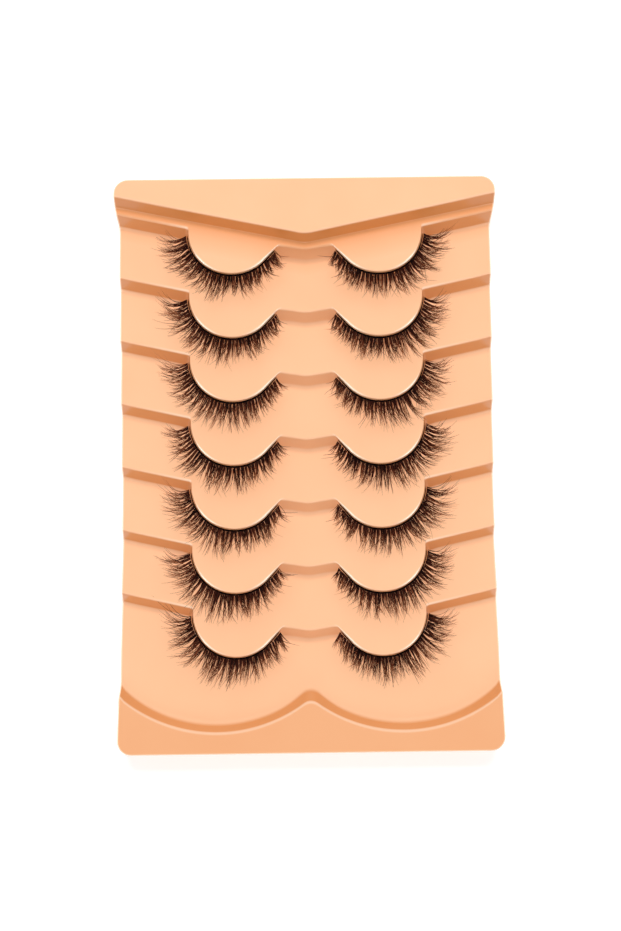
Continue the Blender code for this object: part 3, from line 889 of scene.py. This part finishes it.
def build_guide(row, side, name):
    """Line along the band with the direction and length of its lashes at every point."""
    places, directions, lengths, sweeps = [], [], [], []
    root_depth = BAND_TOP_DEPTH + 0.5 * BAND_HEIGHT
    root_out = BAND_GAP + ROOT_OUT_SHARE * BAND_THICKNESS
    for station in range(GUIDE_STATIONS + 1):
        share = station / GUIDE_STATIONS
        _, _, radial, _ = lobe_station(row, share)
        x, y, z = wall_point(row, share, root_depth, root_out)
        lean_share = OUTER_LEAN if radial >= STRAIGHT_DOWN else INNER_LEAN
        lean = STRAIGHT_DOWN + (radial - STRAIGHT_DOWN) * lean_share
        dx, dy = -math.cos(math.radians(lean)), -math.sin(math.radians(lean))
        places.append((side * x * MM, y * MM, z * MM))
        directions.append((side * dx, dy, -SHELF_SLOPE * dy))
        lengths.append(by_radial(LASH_LENGTHS, radial) * MM)
        sweep = by_radial(LASH_SWEEPS, radial) * MM
        sweeps.append((0.0, sweep, -SHELF_SLOPE * sweep))
    data = bpy.data.meshes.new(name)
    data.from_pydata(places, [(index, index + 1) for index in range(GUIDE_STATIONS)], [])
    data.attributes.new("lash_direction", "FLOAT_VECTOR", "POINT")
    data.attributes.new("lash_length", "FLOAT", "POINT")
    data.attributes.new("lash_sweep", "FLOAT_VECTOR", "POINT")
    for index in range(len(places)):
        data.attributes["lash_direction"].data[index].vector = directions[index]
        data.attributes["lash_length"].data[index].value = lengths[index]
        data.attributes["lash_sweep"].data[index].vector = sweeps[index]
    return scene_object(name, data)


class NodeWriter:
    """Short calls for the nodes of a geometry, shader or world tree.

    A socket is named by its number where a node has several of one name.
    """

    def __init__(self, tree):
        self.tree = tree

    def node(self, kind, inputs=None, **settings):
        """A node with its settings and with values or sockets on its inputs."""
        item = self.tree.nodes.new(kind)
        for name, value in settings.items():
            setattr(item, name, value)
        for key, value in (inputs or {}).items():
            self.feed(item.inputs[key], value)
        return item

    def feed(self, socket, value):
        """Link a socket or set a value."""
        if isinstance(value, bpy.types.NodeSocket):
            self.tree.links.new(value, socket)
        else:
            socket.default_value = value

    def math(self, operation, first, second=0.0, third=0.0):
        inputs = {0: first, 1: second, 2: third}
        return self.node("ShaderNodeMath", inputs, operation=operation).outputs[0]

    def vector(self, operation, first, second):
        inputs = {0: first, 1: second}
        return self.node("ShaderNodeVectorMath", inputs, operation=operation).outputs["Vector"]

    def scaled(self, vector, factor):
        inputs = {0: vector, "Scale": factor}
        return self.node("ShaderNodeVectorMath", inputs, operation="SCALE").outputs["Vector"]

    def mixed(self, factor, first, second):
        inputs = {0: factor, 4: first, 5: second}
        return self.node("ShaderNodeMix", inputs, data_type="VECTOR").outputs[1]

    def random(self, low, high, key, seed):
        """A number between low and high that goes with the key."""
        inputs = {2: low, 3: high, 7: key, 8: seed}
        return self.node("FunctionNodeRandomValue", inputs, data_type="FLOAT").outputs[1]

    def attribute(self, name, kind="FLOAT_VECTOR"):
        """Value of a named attribute."""
        return self.node("GeometryNodeInputNamedAttribute", {"Name": name}, data_type=kind).outputs[0]

    def store(self, geometry, name, value, kind="FLOAT_VECTOR"):
        """The geometry with a value kept on its points."""
        inputs = {"Geometry": geometry, "Name": name, "Value": value}
        item = self.node("GeometryNodeStoreNamedAttribute", inputs, data_type=kind, domain="POINT")
        return item.outputs[0]


LASH_INPUTS = (
    ("Lashes", "NodeSocketInt", 510),
    ("Clumps", "NodeSocketInt", 34),
    ("Strand Radius", "NodeSocketFloat", 0.000095),
    ("Points", "NodeSocketInt", 9),
    ("Clumping", "NodeSocketFloat", 0.68),
    ("Root Clumping", "NodeSocketFloat", 0.4),
    ("Stray Share", "NodeSocketFloat", 0.2),
    ("Stray Lean", "NodeSocketFloat", 0.5),
    ("Sideways Bend", "NodeSocketFloat", 0.0019),
    ("Curl Dip", "NodeSocketFloat", CURL_DIP * MM),
    ("Curl Rise", "NodeSocketFloat", CURL_RISE * MM),
    ("Root Spread", "NodeSocketFloat", 0.0003),
    ("Curl Direction", "NodeSocketVector", SHELF_NORMAL),
    ("Seed", "NodeSocketInt", 0),
    ("Material", "NodeSocketMaterial", None),
)

# Attributes that only grow the lashes and are dropped from the finished mesh
HELPER_ATTRIBUTES = (
    "lash_root",
    "lash_tip",
    "lash_bend",
    "lash_curl",
    "lash_direction",
    "lash_length",
    "lash_sweep",
    "lash_upsweep",
)


def lash_tree():
    """Geometry Nodes that grow clumped, curling lashes along a guide line."""
    tree = bpy.data.node_groups.new("lash_fringe", "GeometryNodeTree")
    tree.interface.new_socket("Guide", in_out="INPUT", socket_type="NodeSocketGeometry")
    for name, kind, value in LASH_INPUTS:
        socket = tree.interface.new_socket(name, in_out="INPUT", socket_type=kind)
        if value is not None:
            socket.default_value = value
    tree.interface.new_socket("Lashes", in_out="OUTPUT", socket_type="NodeSocketGeometry")
    w = NodeWriter(tree)
    given = w.node("NodeGroupInput").outputs

    def draw(span, key, offset):
        """A number in a span that goes with the key, from the strip's own seed."""
        return w.random(*span, key, w.math("ADD", given["Seed"], float(offset)))

    # Where each lash is rooted, and which clump it belongs to
    index = w.node("GeometryNodeInputIndex").outputs[0]
    jitter = draw(FULL_RANGE, index, 1)
    root_share = w.math("DIVIDE", w.math("ADD", index, jitter), given["Lashes"])
    clump_jitter = draw(CLUMP_JITTER_RANGE, index, 2)
    clump_place = w.math("ADD", w.math("MULTIPLY", root_share, given["Clumps"]), clump_jitter)
    clump = w.math("FLOOR", clump_place)
    clump_shift = draw(CLUMP_ROOT_RANGE, clump, 3)
    clump_share = w.math("DIVIDE", w.math("ADD", clump, clump_shift), given["Clumps"])

    curve = w.node("GeometryNodeMeshToCurve", {"Mesh": given["Guide"]}).outputs[0]

    def sampled(share, name, kind):
        inputs = {"Curves": curve, "Value": w.attribute(name, kind), "Factor": share}
        return w.node("GeometryNodeSampleCurve", inputs, data_type=kind, mode="FACTOR")

    root_sample = sampled(root_share, "lash_direction", "FLOAT_VECTOR")
    root = root_sample.outputs["Position"]
    direction = root_sample.outputs["Value"]
    length = sampled(root_share, "lash_length", "FLOAT").outputs["Value"]
    clump_sample = sampled(clump_share, "lash_direction", "FLOAT_VECTOR")
    clump_root = clump_sample.outputs["Position"]
    clump_direction = clump_sample.outputs["Value"]
    clump_length = sampled(clump_share, "lash_length", "FLOAT").outputs["Value"]
    sweep = sampled(clump_share, "lash_sweep", "FLOAT_VECTOR").outputs["Value"]
    normal = given["Curl Direction"]
    across = w.vector("CROSS_PRODUCT", direction, normal)

    # Lengths vary from clump to clump and from lash to lash
    clump_factor = draw(CLUMP_LENGTH_RANGE, clump, 4)
    lash_factor = draw(LASH_LENGTH_RANGE, index, 5)
    factor = w.math("MULTIPLY", clump_factor, lash_factor)
    stray_draw = draw(FULL_RANGE, index, 6)
    stray = w.math("LESS_THAN", stray_draw, given["Stray Share"])
    lean = w.math("MULTIPLY", draw(EITHER_WAY_RANGE, index, 7), given["Stray Lean"])
    stray_lean = w.math("MULTIPLY", lean, stray)
    reach = w.math("MULTIPLY", length, factor)
    end = w.vector("ADD", root, w.scaled(direction, reach))
    end = w.vector("ADD", end, w.scaled(across, w.math("MULTIPLY", stray_lean, reach)))
    clump_reach = w.math("MULTIPLY", clump_length, factor)
    clump_end = w.vector("ADD", clump_root, w.scaled(clump_direction, clump_reach))
    hold = w.math("MULTIPLY", given["Clumping"], draw(LASH_HOLD_RANGE, index, 8))
    hold = w.math("MINIMUM", hold, MOST_HOLD)
    hold = w.math("MULTIPLY", hold, w.math("SUBTRACT", 1.0, stray))
    tip = w.mixed(hold, end, clump_end)
    spread = draw(EITHER_WAY_RANGE, index, 9)
    depth = w.math("MULTIPLY", spread, given["Root Spread"])
    root_hold = w.math("MULTIPLY", hold, given["Root Clumping"])
    start = w.vector("ADD", w.mixed(root_hold, root, clump_root), w.scaled(normal, depth))
    clump_bend = draw(CLUMP_BEND_RANGE, clump, 10)
    lash_bend = draw(LASH_BEND_RANGE, index, 11)
    bend = w.math("ADD", clump_bend, lash_bend)
    bend = w.math("MULTIPLY", bend, given["Sideways Bend"])
    bend = w.math("MULTIPLY", bend, w.math("ADD", 1.0, stray))
    sweep = w.scaled(sweep, draw(LASH_SWEEP_RANGE, index, 14))
    curl = draw(LASH_CURL_RANGE, index, 12)

    points = w.node("GeometryNodePoints", {"Count": given["Lashes"]}).outputs[0]
    points = w.store(points, "lash_root", start)
    points = w.store(points, "lash_tip", tip)
    points = w.store(points, "lash_bend", w.scaled(across, bend))
    points = w.store(points, "lash_upsweep", sweep)
    points = w.store(points, "lash_curl", curl, "FLOAT")
    points = w.store(points, "tint", draw(FULL_RANGE, index, 13), "FLOAT")

    # One straight strand on each root, then bent into its own lash
    strand = w.node("GeometryNodeCurvePrimitiveLine").outputs[0]
    strand = w.node("GeometryNodeResampleCurve", {"Curve": strand, "Count": given["Points"]}).outputs[0]
    strands = w.node("GeometryNodeInstanceOnPoints", {"Points": points, "Instance": strand}).outputs[0]
    strands = w.node("GeometryNodeRealizeInstances", {"Geometry": strands}).outputs[0]
    t = w.node("GeometryNodeSplineParameter").outputs["Factor"]
    t_squared = w.math("MULTIPLY", t, t)
    t_cubed = w.math("MULTIPLY", t_squared, t)
    body = w.mixed(t, w.attribute("lash_root"), w.attribute("lash_tip"))
    body = w.vector("ADD", body, w.scaled(w.attribute("lash_bend"), t_squared))
    body = w.vector("ADD", body, w.scaled(w.attribute("lash_upsweep"), t_cubed))
    dip = w.math("MULTIPLY", given["Curl Dip"], t)
    rise = w.math("MULTIPLY", given["Curl Rise"], t_squared)
    lift = w.math("ADD", dip, rise)
    lift = w.math("MULTIPLY", lift, w.attribute("lash_curl", "FLOAT"))
    body = w.vector("ADD", body, w.scaled(normal, lift))
    strands = w.node("GeometryNodeSetPosition", {"Geometry": strands, "Position": body}).outputs[0]
    strands = w.store(strands, "along", t, "FLOAT")
    thinning = w.math("MULTIPLY", w.math("POWER", t, TAPER_POWER), TAPER_SHARE)
    taper = w.math("SUBTRACT", 1.0, thinning)
    section = {"Resolution": STRAND_SIDES, "Radius": given["Strand Radius"]}
    profile = w.node("GeometryNodeCurvePrimitiveCircle", section).outputs[0]
    tubes = w.node(
        "GeometryNodeCurveToMesh",
        {"Curve": strands, "Profile Curve": profile, "Scale": taper, "Fill Caps": True},
    ).outputs[0]
    for name in HELPER_ATTRIBUTES:
        tubes = w.node("GeometryNodeRemoveAttribute", {"Geometry": tubes, "Name": name}).outputs[0]
    tubes = w.node("GeometryNodeSetShadeSmooth", {"Geometry": tubes}).outputs[0]
    tubes = w.node("GeometryNodeRealizeInstances", {"Geometry": tubes}).outputs[0]
    finish = {"Geometry": tubes, "Material": given["Material"]}
    tubes = w.node("GeometryNodeSetMaterial", finish).outputs[0]
    target = w.node("NodeGroupOutput")
    tree.links.new(tubes, target.inputs["Lashes"])
    return tree


def grow_lashes(tree, row, side, material, values):
    """Lashes of one strip, as a plain mesh."""
    item = build_guide(row, side, "lashes_" + strip_name(row, side))
    modifier = item.modifiers.new("lashes", "NODES")
    modifier.node_group = tree
    settings = dict(values)
    settings["Seed"] = SEEDS_PER_ROW * row + (SEEDS_PER_SIDE if side > 0 else 0)
    settings["Material"] = material
    for socket in tree.interface.items_tree:
        if socket.in_out == "INPUT" and socket.name in settings:
            modifier[socket.identifier] = settings[socket.name]
    settle(item)
    return item


def shader_material(name, colour, finish):
    """A Principled material, a writer for its tree, and its shader node."""
    material = bpy.data.materials.new(name)
    material.use_nodes = True
    material.diffuse_color = colour
    shader = material.node_tree.nodes["Principled BSDF"]
    shader.inputs["Base Color"].default_value = colour
    for socket, value in finish.items():
        shader.inputs[socket].default_value = value
    return material, NodeWriter(material.node_tree), shader


def noise(w, place, pattern):
    """Noise in object space, with the pattern's scale and detail."""
    return w.node("ShaderNodeTexNoise", {"Vector": place, **pattern}).outputs["Fac"]


def ramp(w, factor, stops):
    """Colour ramp whose stops are pairs of a place and a colour."""
    node = w.node("ShaderNodeValToRGB", {"Fac": factor})
    points = node.color_ramp.elements
    while len(points) < len(stops):
        points.new(0.5)
    for point, (place, colour) in zip(points, stops):
        point.position = place
        point.color = colour
    return node.outputs["Color"]


def bumped(w, shader, height, relief):
    """Bump from a height, with the relief's strength and distance."""
    bump = w.node("ShaderNodeBump", {"Height": height, **relief})
    w.feed(shader.inputs["Normal"], bump.outputs["Normal"])


def attribute_value(w, name):
    """Value of a named attribute of the mesh."""
    return w.node("ShaderNodeAttribute", attribute_name=name).outputs["Fac"]


def blended(w, factor, first, second):
    """Mix of two colours."""
    inputs = {0: factor, 6: first, 7: second}
    return w.node("ShaderNodeMix", inputs, data_type="RGBA").outputs[2]


def painted_ledge_shadow(w, place):
    """Painted shadow of the ledge on the strip under it, fading away from the ledge."""
    axes = w.node("ShaderNodeSeparateXYZ", {0: place}).outputs
    sideways = w.math("ABSOLUTE", axes["X"])
    foot_line = w.math("MULTIPLY_ADD", sideways, LEDGE_FOOT_SLOPE, LEDGE_FOOT_Y * MM)
    distance = w.math("SUBTRACT", foot_line, axes["Y"])
    along = w.math("SUBTRACT", distance, LEDGE_SHADOW_START)
    share = w.math("DIVIDE", along, LEDGE_SHADOW_END - LEDGE_SHADOW_START)
    return ramp(w, share, [(stop, (value, value, value, 1.0)) for stop, value in LEDGE_SHADOW_STOPS])


def tray_plastic():
    """Pale peach formed plastic: glossy, with the faint waviness of a formed sheet."""
    material, w, shader = shader_material("peach_formed_plastic", TRAY_COLOUR, TRAY_FINISH)
    place = w.node("ShaderNodeTexCoord").outputs["Object"]
    flat_colour = ramp(w, noise(w, place, TRAY_CLOUDS), TRAY_CLOUD_STOPS)
    # Painted shade: steep walls darkened by their steepness, and the ledge's painted shadow on the
    # strip below it
    depth = w.math("MAXIMUM", attribute_value(w, "drawn"), painted_ledge_shadow(w, place))
    shade_painted = blended(w, depth, flat_colour, WALL_SHADE_COLOUR)
    # Painted highlight on rounded edges and the rim
    highlighted = blended(w, attribute_value(w, "painted_edge_highlight"), shade_painted, EDGE_HIGHLIGHT_COLOUR)
    w.feed(shader.inputs["Base Color"], highlighted)
    bumped(w, shader, noise(w, place, TRAY_GRAIN), TRAY_RELIEF)
    return material


def band_thread():
    """Near-black knotted thread with a dull gloss."""
    material, w, shader = shader_material("lash_band_thread", THREAD_COLOUR, THREAD_FINISH)
    place = w.node("ShaderNodeTexCoord").outputs["Object"]
    twist = noise(w, place, THREAD_TWIST)
    w.feed(shader.inputs["Base Color"], ramp(w, twist, THREAD_STOPS))
    bumped(w, shader, twist, THREAD_RELIEF)
    return material


def lash_fibre():
    """Brown-black fibre, paler and redder toward its tip and from lash to lash."""
    material, w, shader = shader_material("lash_fibre", FIBRE_COLOUR, FIBRE_FINISH)
    own_shade = w.math("MULTIPLY", attribute_value(w, "tint"), TINT_WEIGHT)
    shade = w.math("MULTIPLY_ADD", attribute_value(w, "along"), TIP_WEIGHT, own_shade)
    w.feed(shader.inputs["Base Color"], ramp(w, shade, FIBRE_STOPS))
    return material


def place_camera():
    """Camera at the photograph's angle."""
    data = bpy.data.cameras.new("photo_camera")
    data.sensor_fit = "VERTICAL"
    data.sensor_height = SENSOR_HEIGHT
    data.lens = FOCAL_PIXELS / IMAGE_HEIGHT * SENSOR_HEIGHT
    data.clip_start = CLIP_START
    data.clip_end = CLIP_END
    item = scene_object("photo_camera", data)
    item.location = Vector(CAMERA_PLACE) * MM
    item.rotation_euler = (CAMERA_PITCH, CAMERA_YAW, CAMERA_ROLL)
    bpy.context.scene.camera = item


def area_light(name, place, size, power):
    """Square soft light aimed at the tray."""
    data = bpy.data.lights.new(name, "AREA")
    data.shape = "SQUARE"
    data.size = size
    data.energy = power
    item = scene_object(name, data)
    item.location = place
    aim = Vector(LAMP_AIM) - Vector(place)
    item.rotation_euler = aim.to_track_quat("-Z", "Y").to_euler()
    return item


def highlight_panel(turn):
    """Panel seen only as a highlight on glossy edges, at a turn about the tray."""
    flat = PANEL_DISTANCE * math.cos(SIDE_ELEVATION)
    height = PANEL_DISTANCE * math.sin(SIDE_ELEVATION)
    place = (flat * math.cos(turn), flat * math.sin(turn), height)
    power = PANEL_RADIANCE * math.pi * PANEL_WIDTH * SIDE_HEIGHT
    item = area_light("side_panel", place, PANEL_WIDTH, power)
    item.data.shape = "RECTANGLE"
    item.data.size_y = SIDE_HEIGHT
    item.visible_diffuse = False


def light_tray(blocking_piece):
    """Soft lamps whose only shadows are the blocking piece's, and panels for the highlights."""
    blockers = bpy.data.collections.new("shadow_casters")
    blockers.objects.link(blocking_piece)
    key = area_light("key_light", KEY_PLACE, KEY_SIZE, KEY_POWER)
    fill = area_light("fill_light", FILL_PLACE, FILL_SIZE, FILL_POWER)
    for lamp in (key, fill):
        lamp.visible_glossy = False
        lamp.light_linking.blocker_collection = blockers
    for turn in SIDE_TURNS:
        highlight_panel(math.radians(turn))


def surround():
    """White world: soft as light, full white where the camera sees it."""
    world = bpy.data.worlds.new("studio")
    world.use_nodes = True
    w = NodeWriter(world.node_tree)
    soft = w.tree.nodes["Background"]
    soft.inputs["Color"].default_value = WHITE
    soft.inputs["Strength"].default_value = WORLD_STRENGTH
    full = w.node("ShaderNodeBackground", {"Color": WHITE, "Strength": BACKDROP_STRENGTH})
    seen = w.node("ShaderNodeLightPath").outputs["Is Camera Ray"]
    either = w.node("ShaderNodeMixShader", {0: seen, 1: soft.outputs[0], 2: full.outputs[0]})
    w.feed(w.tree.nodes["World Output"].inputs["Surface"], either.outputs[0])
    bpy.context.scene.world = world
    bpy.context.scene.view_settings.view_transform = "Standard"


def lay_floor():
    """Pale floor with a glow of its own, just under the tray."""
    material, _, shader = shader_material("floor_white", FLOOR_COLOUR, FLOOR_FINISH)
    shader.inputs["Emission Color"].default_value = WHITE
    shader.inputs["Emission Strength"].default_value = FLOOR_GLOW
    data = bpy.data.meshes.new("floor")
    corners = [(-FLOOR_HALF, -FLOOR_HALF, 0.0), (FLOOR_HALF, -FLOOR_HALF, 0.0)]
    corners += [(FLOOR_HALF, FLOOR_HALF, 0.0), (-FLOOR_HALF, FLOOR_HALF, 0.0)]
    data.from_pydata(corners, [], [(0, 1, 2, 3)])
    data.materials.append(material)
    floor = scene_object("floor", data)
    floor.location = (0.0, 0.0, -FLOOR_DROP)


plastic = tray_plastic()
thread = band_thread()
fibre = lash_fibre()

tray = mesh_object("tray_form", build_tray_skin(), plastic)
for polygon in tray.data.polygons:
    polygon.use_smooth = True
shell = tray.modifiers.new("sheet", "SOLIDIFY")
shell.thickness = SHEET_THICKNESS * MM
shell.offset = -1.0
shell.use_even_offset = True
shell.use_rim = True
weighted = tray.modifiers.new("shading", "WEIGHTED_NORMAL")
weighted.mode = "FACE_AREA"
weighted.weight = NORMAL_WEIGHT
weighted.keep_sharp = True
settle(tray)
note_drawn_walls(tray)
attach(tray, "root")
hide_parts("tray")

fringe_tree = lash_tree()
lash_settings = {name: value for name, _, value in LASH_INPUTS if value is not None}
for row_number in range(1, ROWS + 1):
    for side_sign in (-1, 1):
        suffix = strip_name(row_number, side_sign)
        band = build_band(row_number, side_sign, thread)
        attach(band, "root")
        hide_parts("band_" + suffix)
        lashes = grow_lashes(fringe_tree, row_number, side_sign, fibre, lash_settings)
        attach(lashes, "root")
        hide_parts("fringe_" + suffix)

light_tray(tray)
surround()
lay_floor()
place_camera()
